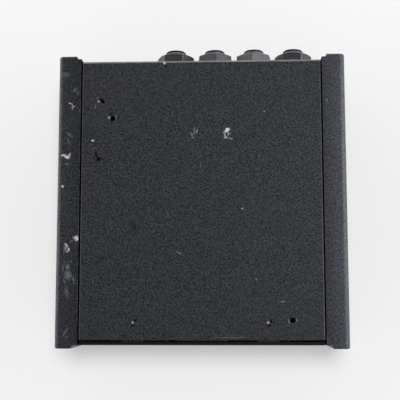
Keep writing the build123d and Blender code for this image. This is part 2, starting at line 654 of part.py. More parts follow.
with BuildPart() as pad_1_slider:
    add(pad_blank.part.moved(Location((PAD_X, 0, PAD_Z[0]))))
pad_1_slider.part.label = "pad_1_slider"
export_step(pad_1_slider.part, "parts/pad_1_slider.step")

with BuildPart() as pad_2_slider:
    add(pad_blank.part.moved(Location((PAD_X, 0, PAD_Z[1]))))
pad_2_slider.part.label = "pad_2_slider"
export_step(pad_2_slider.part, "parts/pad_2_slider.step")

with BuildPart() as lift_blank:
    with BuildSketch(Plane.XZ.offset(-(OUT_IN_Y + FRAME_T + 1.0))):
        Rectangle(5.2, KNOB_H)
    extrude(amount=1.0 + FRAME_T + SHEET - 0.1)
    fillet(lift_blank.faces().sort_by(Axis.Y)[0].edges(), 0.3)
    with BuildSketch(Plane.XZ.offset(-(OUT_FACE_Y + 0.1 + 0.35))):
        with Locations((-1.5, 0), (-0.5, 0), (0.5, 0), (1.5, 0)):
            Rectangle(0.35, KNOB_H + 1)
    extrude(amount=0.4, mode=Mode.SUBTRACT)
    with BuildSketch(Plane.XZ.offset(-(OUT_IN_Y + FRAME_T + 0.35 + 4.5))):
        Rectangle(7.6, 5.7)
    extrude(amount=4.5)

with BuildPart() as lift_1_slider:
    add(lift_blank.part.moved(Location((LIFT_X - LIFT_TRAVEL / 2, 0, LIFT_Z[0]))))
lift_1_slider.part.label = "ground_lift_1_slider"
export_step(lift_1_slider.part, "parts/ground_lift_1_slider.step")

with BuildPart() as lift_2_slider:
    add(lift_blank.part.moved(Location((LIFT_X - LIFT_TRAVEL / 2, 0, LIFT_Z[1]))))
lift_2_slider.part.label = "ground_lift_2_slider"
export_step(lift_2_slider.part, "parts/ground_lift_2_slider.step")


# ---------------------------------------------------------------- circuit board and its fixings
with BuildPart() as board:
    with BuildSketch(Plane.XY.offset(BOARD_LOW)):
        with Locations((0, (BOARD_Y0 + BOARD_Y1) / 2)):
            RectangleRounded(2 * BOARD_HALF, BOARD_Y1 - BOARD_Y0, 1.5)
        with Locations(*POSTS):
            Circle(1.6, mode=Mode.SUBTRACT)
    extrude(amount=BOARD_T)
board.part.label = "circuit_board"
export_step(board.part, "parts/circuit_board.step")

with BuildPart() as posts:
    with BuildSketch(Plane.XY.offset(BOARD_TOP)):
        with Locations(*POSTS):
            RegularPolygon(2.75, 6, major_radius=False)
    extrude(amount=HEIGHT - SHEET - BOARD_TOP)
    with BuildSketch(Plane.XY.offset(HEIGHT - SHEET)):
        with Locations(*POSTS):
            Circle(1.78)
    extrude(amount=0.85)
    with BuildSketch(Plane.XY.offset(BOARD_TOP)):
        with Locations(*POSTS):
            Circle(M3_R + 0.03)
    extrude(amount=4.6, mode=Mode.SUBTRACT)
posts.part.label = "board_posts"
export_step(posts.part, "parts/board_posts.step")

with BuildPart() as board_screws:
    with BuildSketch(Plane.XY.offset(BOARD_LOW - 2.0)):
        with Locations(*POSTS):
            Circle(2.7)
    extrude(amount=2.0)
    fillet(board_screws.edges().filter_by(GeomType.CIRCLE).group_by(Axis.Z)[0], 0.8)
    with BuildSketch(Plane.XY.offset(BOARD_LOW)):
        with Locations(*POSTS):
            Circle(M3_R)
    extrude(amount=5.6)
    with BuildSketch(Plane.XY.offset(BOARD_LOW - 2.0)):
        with Locations(*POSTS):
            Rectangle(3.0, 0.6)
            Rectangle(0.6, 3.0)
    extrude(amount=1.1, mode=Mode.SUBTRACT)
board_screws.part.label = "board_screws"
export_step(board_screws.part, "parts/board_screws.step")


# ---------------------------------------------------------------- transformers (hang from the board)
XZ0 = BOARD_LOW - XFMR_H             # lowest level of the cans
with BuildPart() as cores:
    for x in XFMR_X:
        with BuildSketch(Plane.XY.offset(XZ0 + 3.0)):
            with Locations((x, XFMR_Y)):
                Rectangle(25.0, 8.0)
        extrude(amount=XFMR_H - 6.0)
        # windows of the laminated core
        with BuildSketch(Plane.XZ.offset(-(XFMR_Y + 4.0))):
            with Locations((x - 6.2, XZ0 + XFMR_H / 2), (x + 6.2, XZ0 + XFMR_H / 2)):
                Rectangle(4.6, 9.6)
        extrude(amount=8.0, mode=Mode.SUBTRACT)
cores.part.label = "transformer_cores"
export_step(cores.part, "parts/transformer_cores.step")

with BuildPart() as windings:
    for x in XFMR_X:
        with BuildSketch(Plane.XY.offset(XZ0 + XFMR_H / 2 - 4.6)):
            with Locations((x, XFMR_Y)):
                RectangleRounded(16.6, 20.0, 3.0)
                Rectangle(7.9, 8.1, mode=Mode.SUBTRACT)
        extrude(amount=9.2)
windings.part.label = "transformer_windings"
export_step(windings.part, "parts/transformer_windings.step")

with BuildPart() as cans:
    for x in XFMR_X:
        with BuildSketch(Plane.XY.offset(XZ0)):
            with Locations((x, XFMR_Y)):
                RectangleRounded(XFMR_SIDE, XFMR_SIDE, 3.0)
        extrude(amount=XFMR_H)
        with BuildSketch(Plane.XY.offset(XZ0 + 0.8)):
            with Locations((x, XFMR_Y)):
                RectangleRounded(XFMR_SIDE - 1.6, XFMR_SIDE - 1.6, 2.2)
        extrude(amount=XFMR_H - 0.8, mode=Mode.SUBTRACT)
    fillet(cans.faces().filter_by(Axis.Z).group_by(Axis.Z)[0].edges(), 0.6)
cans.part.label = "transformer_shield_cans"
export_step(cans.part, "parts/transformer_shield_cans.step")

with BuildPart() as bobbins:
    # carrier between board and core, with a pin row
    for x in XFMR_X:
        with BuildSketch(Plane.XY.offset(XZ0 + XFMR_H - 3.0)):
            with Locations((x, XFMR_Y)):
                Rectangle(24.0, 20.0)
        extrude(amount=3.0)
        with BuildSketch(Plane.XY.offset(XZ0 + 0.8)):
            with Locations((x, XFMR_Y)):
                Rectangle(20.0, 14.0)
        extrude(amount=2.2)
bobbins.part.label = "transformer_carriers"
export_step(bobbins.part, "parts/transformer_carriers.step")


# ---------------------------------------------------------------- small parts on the board
RES_Y = [20.0, 23.5, 27.0, 30.5]
with BuildPart() as resistors:
    for x in (-14.0, 14.0):
        for y in RES_Y:
            with BuildSketch(Plane.YZ.offset(x - 3.3)):
                with Locations((y, BOARD_LOW - 1.35)):
                    Circle(1.25)
            extrude(amount=6.6)
            for sx in (-1, 1):
                with BuildSketch(Plane.XY.offset(BOARD_LOW - 1.6)):
                    with Locations((x + sx * 4.3, y)):
                        Circle(0.3)
                extrude(amount=1.6)
                with BuildSketch(Plane.YZ.offset(x + sx * 3.8 - 0.8)):
                    with Locations((y, BOARD_LOW - 1.35)):
                        Circle(0.3)
                extrude(amount=1.6)
resistors.part.label = "pad_resistors"
export_step(resistors.part, "parts/pad_resistors.step")

with BuildPart() as capacitors:
    with BuildSketch(Plane.XY.offset(BOARD_LOW - 7.5)):
        with Locations((-34.0, 24.0), (34.0, 24.0), (-42.6, -14.0), (42.6, -14.0)):
            RectangleRounded(7.2, 3.2, 0.5)
    extrude(amount=7.5)
    fillet(capacitors.faces().filter_by(Axis.Z).group_by(Axis.Z)[0].edges(), 0.4)
capacitors.part.label = "film_capacitors"
export_step(capacitors.part, "parts/film_capacitors.step")

with BuildPart() as headers:
    for x in XLR_X:
        with BuildSketch(Plane.XY.offset(BOARD_LOW - 6.0)):
            with Locations((x, -35.5)):
                Rectangle(9.6, 5.6)
        extrude(amount=6.0)
    for x in (PAD_X,):
        with BuildSketch(Plane.XY.offset(BOARD_LOW - 6.0)):
            with Locations((x, 44.0)):
                Rectangle(18.0, 5.6)
        extrude(amount=6.0)
headers.part.label = "wire_headers"
export_step(headers.part, "parts/wire_headers.step")


# ---------------------------------------------------------------- internal hook-up wires
WIRE_R = 0.55
with BuildPart() as output_1_wires:
    for px, pz in XLR_PINS:
        hx = XLR_X[0] + px * 0.72
        with BuildLine() as run_1:
            Spline(
                (XLR_X[0] + px, PIN_TAIL_Y, XLR_Z + pz), (XLR_X[0] + px * 0.95, -37.2, XLR_Z + pz + 1.0),
                (hx, -35.6, BOARD_LOW - 6.0),
                tangents=((0, 1, 0), (0, 0, 1)),
            )
        with BuildSketch(Plane(origin=(XLR_X[0] + px, PIN_TAIL_Y, XLR_Z + pz), z_dir=(0, 1, 0))):
            Circle(WIRE_R)
        sweep(path=run_1.line)
output_1_wires.part.label = "output_1_wires"
export_step(output_1_wires.part, "parts/output_1_wires.step")

with BuildPart() as output_2_wires:
    for px, pz in XLR_PINS:
        hx = XLR_X[1] + px * 0.72
        with BuildLine() as run_2:
            Spline(
                (XLR_X[1] + px, PIN_TAIL_Y, XLR_Z + pz), (XLR_X[1] + px * 0.95, -37.2, XLR_Z + pz + 1.0),
                (hx, -35.6, BOARD_LOW - 6.0),
                tangents=((0, 1, 0), (0, 0, 1)),
            )
        with BuildSketch(Plane(origin=(XLR_X[1] + px, PIN_TAIL_Y, XLR_Z + pz), z_dir=(0, 1, 0))):
            Circle(WIRE_R)
        sweep(path=run_2.line)
output_2_wires.part.label = "output_2_wires"
export_step(output_2_wires.part, "parts/output_2_wires.step")

with BuildPart() as pad_wires:
    y_term = JACK_IN_Y - FRAME_T - TRAY_D - 1.2 - 3.2
    for z in PAD_Z:
        for i, dx in enumerate((-4.5, -1.5, 1.5, 4.5)):
            hx = PAD_X + dx * 1.15 + (0.0 if z == PAD_Z[0] else 0.0)
            hy = 45.2 if z == PAD_Z[0] else 42.8
            with BuildLine() as run_3:
                Spline(
                    (PAD_X + dx, y_term, z - 1.9 if z == PAD_Z[1] else z + 1.9),
                    (hx, hy, BOARD_LOW - 6.0),
                    tangents=((0, -1, 0), (0, 0, 1)),
                )
            with BuildSketch(Plane(origin=(PAD_X + dx, y_term, z - 1.9 if z == PAD_Z[1] else z + 1.9), z_dir=(0, -1, 0))):
                Circle(WIRE_R)
            sweep(path=run_3.line)
pad_wires.part.label = "pad_switch_wires"
export_step(pad_wires.part, "parts/pad_switch_wires.step")
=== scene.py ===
import bpy, bmesh, math, random
from mathutils import Matrix, Vector


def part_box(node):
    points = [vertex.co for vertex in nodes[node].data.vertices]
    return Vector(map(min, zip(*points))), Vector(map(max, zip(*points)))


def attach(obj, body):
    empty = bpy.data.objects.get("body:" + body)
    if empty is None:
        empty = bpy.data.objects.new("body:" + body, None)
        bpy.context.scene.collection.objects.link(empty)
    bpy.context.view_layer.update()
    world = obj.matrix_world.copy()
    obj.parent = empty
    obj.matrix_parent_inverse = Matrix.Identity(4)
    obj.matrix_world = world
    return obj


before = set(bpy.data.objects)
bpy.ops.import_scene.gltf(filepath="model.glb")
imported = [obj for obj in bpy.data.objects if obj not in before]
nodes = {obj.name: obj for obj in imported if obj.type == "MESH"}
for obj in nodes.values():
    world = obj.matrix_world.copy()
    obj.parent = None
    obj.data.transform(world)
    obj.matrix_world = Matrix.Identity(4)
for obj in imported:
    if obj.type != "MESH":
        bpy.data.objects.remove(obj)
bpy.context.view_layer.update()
rnd = random.Random(7)

# ------------------------------------------------------------------ camera
cam_data = bpy.data.cameras.new("camera")
cam = bpy.data.objects.new("camera", cam_data)
bpy.context.collection.objects.link(cam)
EYE = Vector((0.01442, -0.04682, 0.43481))
R = Vector((0.99926, -0.00066, -0.03846)).normalized()
F = Vector((-0.03812, 0.11813, -0.99227)).normalized()
U = R.cross(F).normalized()
R = F.cross(U).normalized()
m = Matrix(((R.x, U.x, -F.x, EYE.x), (R.y, U.y, -F.y, EYE.y), (R.z, U.z, -F.z, EYE.z), (0, 0, 0, 1)))
cam.matrix_world = m
cam_data.sensor_width = 36.0
cam_data.lens = 76.5
cam_data.clip_start = 0.01
cam_data.clip_end = 20
bpy.context.scene.camera = cam
bpy.context.scene.view_settings.view_transform = "Standard"
bpy.context.scene.view_settings.look = "None"


# ------------------------------------------------------------------ node helpers
class Mat:
    """A small wrapper that adds shader nodes in object coordinates (metres)."""

    def __init__(self, name):
        self.m = bpy.data.materials.new(name)
        self.m.use_nodes = True
        self.nt = self.m.node_tree
        self.bsdf = self.nt.nodes["Principled BSDF"]
        self.tc = self.add("ShaderNodeTexCoord")
        self.co = self.tc.outputs["Object"]

    def add(self, kind, **kw):
        n = self.nt.nodes.new(kind)
        for k, v in kw.items():
            setattr(n, k, v)
        return n

    def link(self, a, b):
        self.nt.links.new(a, b)

    def put(self, sock, v):
        if hasattr(v, "is_output") or isinstance(v, bpy.types.NodeSocket):
            self.link(v, sock)
        else:
            sock.default_value = v

    def noise(self, scale, detail=3.0, rough=0.55, distortion=0.0, co=None):
        n = self.add("ShaderNodeTexNoise")
        n.inputs["Scale"].default_value = scale
        n.inputs["Detail"].default_value = detail
        n.inputs["Roughness"].default_value = rough
        n.inputs["Distortion"].default_value = distortion
        self.link(co or self.co, n.inputs["Vector"])
        return n.outputs["Fac"]

    def voronoi(self, scale, feature="F1", co=None, out="Distance"):
        n = self.add("ShaderNodeTexVoronoi", feature=feature)
        n.inputs["Scale"].default_value = scale
        self.link(co or self.co, n.inputs["Vector"])
        return n.outputs[out]

    def math(self, op, a, b=0.0, c=0.0, clamp=False):
        n = self.add("ShaderNodeMath", operation=op, use_clamp=clamp)
        self.put(n.inputs[0], a)
        if len(n.inputs) > 1:
            self.put(n.inputs[1], b)
        if len(n.inputs) > 2:
            self.put(n.inputs[2], c)
        return n.outputs[0]

    def ramp(self, fac, lo, hi, a=0.0, b=1.0):
        n = self.add("ShaderNodeMapRange", clamp=True)
        self.put(n.inputs["Value"], fac)
        n.inputs["From Min"].default_value = lo
        n.inputs["From Max"].default_value = hi
        n.inputs["To Min"].default_value = a
        n.inputs["To Max"].default_value = b
        return n.outputs["Result"]

    def mix(self, fac, a, b):
        n = self.add("ShaderNodeMix", data_type="RGBA")
        self.put(n.inputs[0], fac)
        self.put(n.inputs[6], a if not isinstance(a, tuple) else (*a, 1.0)[:4])
        self.put(n.inputs[7], b if not isinstance(b, tuple) else (*b, 1.0)[:4])
        return n.outputs[2]

    def xyz(self, co=None):
        n = self.add("ShaderNodeSeparateXYZ")
        self.link(co or self.co, n.inputs[0])
        return n.outputs

    def bump(self, height, dist, strength=1.0, normal=None):
        n = self.add("ShaderNodeBump")
        n.inputs["Distance"].default_value = dist
        n.inputs["Strength"].default_value = strength
        self.link(height, n.inputs["Height"])
        if normal is not None:
            self.link(normal, n.inputs["Normal"])
        return n.outputs["Normal"]

    def warp(self, amount, scale):
        """Object coordinates pushed about by noise, so that edges of marks are ragged."""
        n = self.add("ShaderNodeTexNoise")
        n.inputs["Scale"].default_value = scale
        n.inputs["Detail"].default_value = 4.0
        self.link(self.co, n.inputs["Vector"])
        s = self.add("ShaderNodeVectorMath", operation="SUBTRACT")
        self.link(n.outputs["Color"], s.inputs[0])
        s.inputs[1].default_value = (0.5, 0.5, 0.5)
        k = self.add("ShaderNodeVectorMath", operation="SCALE")
        self.link(s.outputs[0], k.inputs[0])
        k.inputs["Scale"].default_value = amount
        a = self.add("ShaderNodeVectorMath", operation="ADD")
        self.link(self.co, a.inputs[0])
        self.link(k.outputs[0], a.inputs[1])
        return a.outputs[0]

    def marks(self, spots, co, soft=0.35):
        """Union of small ellipses (x, y, rx, ry, degrees, weight), in mm, seen from +Z."""
        total = None
        for x, y, rx, ry, deg, w in spots:
            mp = self.add("ShaderNodeMapping", vector_type="TEXTURE")
            mp.inputs["Location"].default_value = (x / 1000, y / 1000, 0)
            mp.inputs["Rotation"].default_value = (0, 0, math.radians(deg))
            mp.inputs["Scale"].default_value = (rx / 1000, ry / 1000, 1000.0)
            self.link(co, mp.inputs["Vector"])
            d = self.add("ShaderNodeVectorMath", operation="LENGTH")
            self.link(mp.outputs[0], d.inputs[0])
            f = self.math("MULTIPLY_ADD", d.outputs["Value"], -w / (2 * soft), w * (1 + soft) / (2 * soft))
            f = self.math("MINIMUM", f, w)
            total = self.math("MAXIMUM", 0.0 if total is None else total, f)
        return total

    def up(self):
        """1 on faces that look up, 0 elsewhere."""
        g = self.add("ShaderNodeNewGeometry")
        z = self.xyz(g.outputs["Normal"])[2]
        return self.ramp(z, 0.5, 0.8)


def assign(mat, *names):
    for n in names:
        o = nodes[n]
        if not o.data.materials:
            o.data.materials.append(mat.m)
        for s in o.material_slots:
            s.material = mat.m


# ------------------------------------------------------------------ powder-coated sheets
def sheet_coat(name, with_marks):
    a = Mat(name)
    fine = a.noise(2600, 2.0, 0.6)
    mid = a.noise(1200, 3.0, 0.66)
    patch = a.noise(210, 2.0, 0.5)
    big = a.noise(26, 2.0, 0.5)
    tone = a.math("MULTIPLY_ADD", mid, 0.7, a.math("MULTIPLY", fine, 0.3))
    base = a.mix(a.ramp(tone, 0.40, 0.60), (0.0026, 0.0029, 0.0043), (0.0282, 0.0301, 0.0376))
    base = a.mix(a.ramp(patch, 0.35, 0.65, 0.0, 0.30), base, (0.0100, 0.0106, 0.0136))
    base = a.mix(a.ramp(big, 0.35, 0.65, 0.0, 0.20), base, (0.0160, 0.0168, 0.0209))
    # painted glints: paler specks in the base colour stand in for coarse powder grains catching the light
    speck = a.ramp(a.voronoi(900), 0.0, 0.17, 0.55, 0.0)
    speck = a.math("MULTIPLY", speck, a.ramp(a.noise(330, 2.0), 0.50, 0.62))
    base = a.mix(speck, base, (0.070, 0.073, 0.080))
    rough = a.ramp(mid, 0.3, 0.7, 0.46, 0.62)
    height = a.math("MULTIPLY_ADD", fine, 0.5, a.math("MULTIPLY", mid, 1.0))
    # painted highlight: pale lines along the long edges of the face, broken up by noise
    x = a.math("ABSOLUTE", a.xyz()[0])
    gap_edge_sheen = a.math("MULTIPLY", a.ramp(x, 0.05545, 0.05578), a.ramp(a.noise(90, 4.0, 0.7), 0.42, 0.62))
    gap_edge_sheen = a.math("MULTIPLY", gap_edge_sheen, a.up())
    base = a.mix(a.math("MULTIPLY", gap_edge_sheen, 0.55), base, (0.13, 0.13, 0.135))
    # painted highlight: more pale lines along both long edges, stronger toward the front on the right
    edge = a.math("MULTIPLY", a.ramp(a.xyz()[0], 0.05520, 0.05560), a.ramp(a.xyz()[1], 0.010, -0.045, 0.10, 0.75))
    edge = a.math("MAXIMUM", edge, a.ramp(a.xyz()[0], -0.05532, -0.05556, 0.0, 0.62))
    edge = a.math("MULTIPLY", a.math("MULTIPLY", edge, a.ramp(a.noise(140, 3.0, 0.7), 0.36, 0.58, 0.25, 1.0)), a.up())
    base = a.mix(edge, base, (0.085, 0.086, 0.090))
    # painted highlight: the bend between the seen face and the jack panel is painted pale, broken up by noise
    fold_sheen = a.math("MULTIPLY", a.ramp(a.xyz()[1], 0.06455, 0.06480), a.ramp(a.xyz()[2], 0.0448, 0.0451))
    base = a.mix(a.math("MULTIPLY", fold_sheen, a.ramp(a.noise(160, 4.0, 0.7), 0.30, 0.60, 0.35, 0.9)), base, (0.16, 0.16, 0.165))
    spec = a.ramp(tone, 0.38, 0.62, 0.20, 0.52)
    if with_marks:
        w = a.warp(0.0005, 1500)
        up = a.up()
        # pale marks: paint chips, and painted highlights on the rims of the two drilled holes (the marks at
        # -43.00/38.55, -39.75/38.70, 39.62/-55.80 and 43.22/-55.40)
        chips_and_rim_glints = a.marks([
            (-48.09, 46.30, 0.45, 0.55, 0, 0.55), (-48.68, 47.99, 0.25, 0.55, 15, 0.18), (-49.57, 43.92, 0.20, 0.90, 0, 0.28),
            (-43.00, 38.55, 0.62, 0.62, 0, 0.42), (-39.75, 38.70, 0.32, 0.85, 0, 0.16),
            (-50.71, 27.68, 0.58, 0.45, 10, 1.0), (-50.33, 23.93, 0.25, 0.45, 0, 0.18),
            (19.03, -4.57, 0.28, 0.45, 0, 0.75), (29.55, 40.79, 0.40, 0.25, 20, 0.40),
            (-17.15, 64.36, 0.55, 0.50, 0, 1.0), (39.62, -55.80, 0.34, 0.80, 0, 0.20), (43.22, -55.40, 0.28, 0.60, 0, 0.24),
        ], w, 0.45)
        scuffs = a.marks([
            (12.30, 32.35, 0.95, 0.80, 35, 1.0), (11.75, 31.60, 0.80, 0.60, 20, 0.95), (10.81, 31.10, 0.60, 0.35, 25, 0.55),
            (11.05, 29.75, 0.32, 0.70, 10, 0.55), (12.60, 30.15, 0.30, 0.70, -10, 0.45), (11.45, 28.74, 0.80, 0.38, 12, 0.62),
            (13.70, 28.20, 0.95, 0.38, -5, 0.26), (13.55, 30.50, 0.28, 0.60, 0, 0.16),
            (-4.32, 30.19, 0.40, 0.85, 15, 0.22), (-3.94, 28.77, 0.65, 0.40, 10, 0.24), (-2.83, 31.12, 0.90, 0.45, 40, 0.16),
            (-1.89, 31.60, 0.32, 1.00, -5, 0.24), (-3.15, 32.55, 0.30, 0.90, 0, 0.18),
            (37.10, -47.05, 1.40, 0.34, 8, 0.17), (25.10, -37.00, 0.34, 0.85, 25, 0.15), (-10.30, -24.80, 1.30, 0.30, -28, 0.17),
            (-0.20, 16.00, 0.25, 1.80, 5, 0.06), (23.90, -0.80, 0.22, 2.60, 3, 0.05), (13.60, -63.20, 7.20, 0.22, 0, 0.12),
        ], w, 0.5)
        dark = a.marks([
            (-46.85, 46.98, 1.00, 0.80, -40, 1.0), (-45.95, 46.05, 0.95, 0.70, -50, 1.0), (-42.20, 40.20, 1.20, 0.45, 12, 0.75),
            (-49.02, 20.85, 0.75, 1.40, 12, 0.80), (-47.82, 18.81, 1.00, 1.00, 0, 1.0), (-50.17, 19.67, 0.60, 0.60, 0, 0.50),
            (-51.80, 28.90, 0.60, 0.80, 30, 0.30), (-50.70, 26.60, 0.80, 0.30, 0, 0.35),
            (-31.25, -12.40, 0.95, 3.20, 24, 0.45), (-16.60, 63.00, 0.70, 0.95, 0, 0.75),
            (-30.35, -55.50, 0.95, 0.42, 0, 0.75), (-31.30, -57.85, 0.95, 0.42, 0, 0.95),
            (31.65, -55.90, 0.50, 0.90, 0, 0.90), (30.60, -57.85, 0.95, 0.45, 5, 0.95), (28.90, -56.40, 0.32, 0.80, 0, 0.45),
        ], w, 0.45)
        breakup = a.ramp(a.noise(1900, 2.0, 0.6), 0.30, 0.48)
        chips_and_rim_glints = a.math("MULTIPLY", chips_and_rim_glints, up)
        scuffs = a.math("MULTIPLY", a.math("MULTIPLY", scuffs, up), breakup)
        dark = a.math("MULTIPLY", dark, up)
        base = a.mix(dark, base, (0.0024, 0.0025, 0.0028))
        base = a.mix(scuffs, base, (0.62, 0.62, 0.62))
        base = a.mix(chips_and_rim_glints, base, (0.46, 0.455, 0.44))
        rough = a.math("MAXIMUM", rough, a.math("MULTIPLY", scuffs, 0.9))
        height = a.math("SUBTRACT", height, a.math("MULTIPLY", dark, 2.0))
        height = a.math("SUBTRACT", height, a.math("MULTIPLY", chips_and_rim_glints, 1.0))
        spec = a.math("MULTIPLY", spec, a.ramp(dark, 0.0, 0.9, 1.0, 0.05))
    else:
        # partly painted shade: the cut edge along the top of the output panel is painted dark with little specular, as
        # bare dark steel and as the shade in the recess below the seen face
        recess_shade_rim = a.ramp(a.xyz()[2], 0.0440, 0.0443)
        base = a.mix(recess_shade_rim, base, (0.0115, 0.0098, 0.0086))
        spec = a.math("MULTIPLY", spec, a.ramp(recess_shade_rim, 0.0, 1.0, 1.0, 0.2))
    a.link(base, a.bsdf.inputs["Base Color"])
    a.link(rough, a.bsdf.inputs["Roughness"])
    a.link(spec, a.bsdf.inputs["Specular IOR Level"])
    a.link(a.bump(height, 0.00010), a.bsdf.inputs["Normal"])
    return a


assign(sheet_coat("sheet_powder_coat_seen_face", True), "folded_sheet_with_jack_panel")
assign(sheet_coat("sheet_powder_coat_far_face", False), "folded_sheet_with_output_panel")


# ------------------------------------------------------------------ painted rails
def rail_coat(name, left):
    a = Mat(name)
    fine = a.noise(2600, 2.0, 0.6)
    mid = a.noise(1150, 3.0, 0.66)
    patch = a.noise(160, 3.0, 0.6)
    tone = a.math("MULTIPLY_ADD", mid, 0.7, a.math("MULTIPLY", fine, 0.3))
    # painted light: the right rail gets a paler copy of the left rail's paint, standing in for the brighter light on
    # the right side
    base = a.mix(a.ramp(tone, 0.39, 0.61), *(((0.0021, 0.0024, 0.0036), (0.0195, 0.0212, 0.0280)) if left else ((0.0130, 0.0137, 0.0180), (0.0378, 0.0396, 0.0510))))
    base = a.mix(a.ramp(patch, 0.38, 0.66, 0.0, 0.3), base, (0.0075, 0.0080, 0.0105))
    # painted highlight and shade: faces that look up are scaled from darker near the sheets to paler at the outer edge,
    # and the side faces are scaled darker
    sc = a.add("ShaderNodeVectorMath", operation="SCALE")
    a.link(base, sc.inputs[0])
    crown_sheen = a.ramp(a.math("ABSOLUTE", a.xyz()[0]), 0.0570, 0.0660, *((0.72, 1.40) if left else (0.50, 1.60)))
    flank_shade = 0.80 if left else 0.52
    a.link(a.math("MULTIPLY_ADD", a.up(), a.math("SUBTRACT", crown_sheen, flank_shade), flank_shade), sc.inputs["Scale"])
    base = sc.outputs[0]
    if left:
        # the rear half of this rail has kept its darker paint
        base = a.mix(a.ramp(a.xyz()[1], 0.010, 0.055, 0.0, 0.30), base, (0.0020, 0.0022, 0.0030))
    # painted highlight: a pale band along the outermost edge of the rail, on its top face and the top of its side,
    # broken up by noise
    outer_edge_sheen = a.math("MULTIPLY", a.ramp(a.math("ABSOLUTE", a.xyz()[0]), 0.06610, 0.06690), a.up())
    outer_edge_sheen = a.math("MAXIMUM", outer_edge_sheen, a.math("MULTIPLY", a.ramp(a.math("ABSOLUTE", a.xyz()[0]), 0.06640, 0.06690), a.ramp(a.xyz()[2], 0.0425, 0.0438)))
    base = a.mix(a.math("MULTIPLY", outer_edge_sheen, a.ramp(a.noise(220, 4.0, 0.7), 0.32, 0.62, 0.35, 1.0)), base, (0.115, 0.117, 0.122))
    rough = a.ramp(mid, 0.3, 0.7, 0.42, 0.56)
    height = a.math("MULTIPLY_ADD", fine, 0.5, a.math("MULTIPLY", mid, 0.8))
    # painted highlight: a pale line along the rail's edge at the gap, broken up by noise
    x = a.math("ABSOLUTE", a.xyz()[0])
    gap_edge_sheen = a.math("MULTIPLY", a.ramp(x, 0.05695, 0.05660), a.ramp(a.noise(75, 4.0, 0.7), 0.46, 0.64))
    gap_edge_sheen = a.math("MULTIPLY", gap_edge_sheen, a.up())
    base = a.mix(a.math("MULTIPLY", gap_edge_sheen, 0.45), base, (0.12, 0.12, 0.125))
    if left:
        w = a.warp(0.0006, 1300)
        up = a.up()
        cream = a.marks([
            (-61.35, 45.50, 1.00, 0.28, -14, 0.55), (-60.45, 44.60, 0.28, 0.70, 20, 0.36), (-60.00, 43.95, 0.80, 0.36, 12, 0.45),
            (-60.55, 43.10, 0.25, 0.70, 0, 0.35), (-64.30, 20.85, 0.95, 0.45, 5, 0.95), (-62.90, 20.15, 1.20, 0.70, -12, 1.0),
            (-62.10, 20.00, 0.80, 0.80, 0, 0.9), (-61.35, 21.00, 0.40, 0.85, -15, 0.60), (-64.42, 6.17, 0.46, 0.60, 0, 1.0),
            (-57.56, -18.02, 0.85, 1.15, 8, 1.0), (-58.40, -17.50, 0.85, 0.45, 30, 0.60), (-60.05, -19.49, 1.00, 0.16, 38, 0.25),
            (-62.45, -20.75, 0.50, 0.50, 10, 0.80), (-61.75, -21.60, 0.30, 0.70, 30, 0.75), (-61.10, -23.20, 0.42, 0.75, 0, 0.95),
            (-62.55, -22.60, 0.26, 1.10, -5, 0.62), (-61.70, -24.10, 0.60, 0.26, 0, 0.65), (-59.80, -28.60, 0.25, 0.25, 0, 0.3),
        ], w, 0.4)
        pale = a.marks([
            (-63.79, 59.23, 1.80, 1.10, 0, 0.24), (-59.39, 51.94, 0.80, 1.00, -35, 0.28), (-57.95, 50.48, 0.45, 0.90, -20, 0.26),
            (-61.38, 30.42, 1.40, 0.60, -40, 0.26), (-62.00, 27.20, 0.40, 1.60, 20, 0.22), (-62.55, 16.69, 1.10, 0.55, 0, 0.26),
            (-57.10, 42.08, 0.20, 0.60, 0, 0.28), (-61.46, -31.21, 0.85, 1.10, 10, 0.42), (-61.16, -34.88, 1.30, 1.80, 10, 0.48),
            (-58.58, -37.17, 0.34, 1.50, 8, 0.50), (-61.72, -42.63, 0.75, 2.20, 8, 0.30), (-61.90, -60.80, 0.34, 1.70, -38, 0.42),
            (-63.60, -31.80, 0.40, 1.60, 0, 0.24), (-62.80, -37.60, 0.50, 1.20, 30, 0.26),
            (-62.60, -61.80, 0.25, 0.80, -10, 0.34), (-61.12, -62.99, 0.90, 0.22, 0, 0.26), (-63.25, -23.40, 0.18, 1.90, 0, 0.45),
            (-63.00, -28.50, 0.30, 1.40, 0, 0.12), (-66.00, -20.00, 0.40, 9.00, 0, 0.10),
        ], w, 0.6)
        dark = a.marks([
            (-64.18, 28.54, 1.00, 1.00, 0, 0.55), (-63.63, 24.27, 1.30, 1.40, 0, 0.60), (-61.30, 19.10, 0.90, 0.30, 15, 0.7),
            (-63.10, -24.60, 0.40, 0.90, 0, 0.75), (-60.30, -24.60, 0.50, 0.60, 0, 0.6), (-59.30, -19.10, 0.60, 0.40, 0, 0.5),
            (-58.00, -19.60, 0.90, 0.28, 0, 0.5), (-62.60, 17.90, 1.40, 0.40, 0, 0.4), (-64.40, 4.90, 0.55, 0.30, 0, 0.4),
        ], w, 0.5)
        grain = a.ramp(a.noise(1700, 3.0, 0.7), 0.36, 0.54, 0.15, 1.0)
        cream = a.math("MULTIPLY", a.math("MULTIPLY", cream, up), grain)
        pale = a.math("MULTIPLY", a.math("MULTIPLY", pale, up), a.ramp(a.noise(2000, 3.0, 0.75), 0.40, 0.60, 0.0, 1.25))
        dark = a.math("MULTIPLY", dark, up)
        base = a.mix(dark, base, (0.0040, 0.0040, 0.0044))
        base = a.mix(pale, base, (0.30, 0.31, 0.33))
        base = a.mix(cream, base, (0.62, 0.59, 0.54))
        rough = a.math("MAXIMUM", rough, a.math("MULTIPLY", cream, 0.8))
        height = a.math("SUBTRACT", height, a.math("MULTIPLY", cream, 1.6))
        height = a.math("SUBTRACT", height, a.math("MULTIPLY", dark, 0.8))
    else:
        w = a.warp(0.0006, 1300)
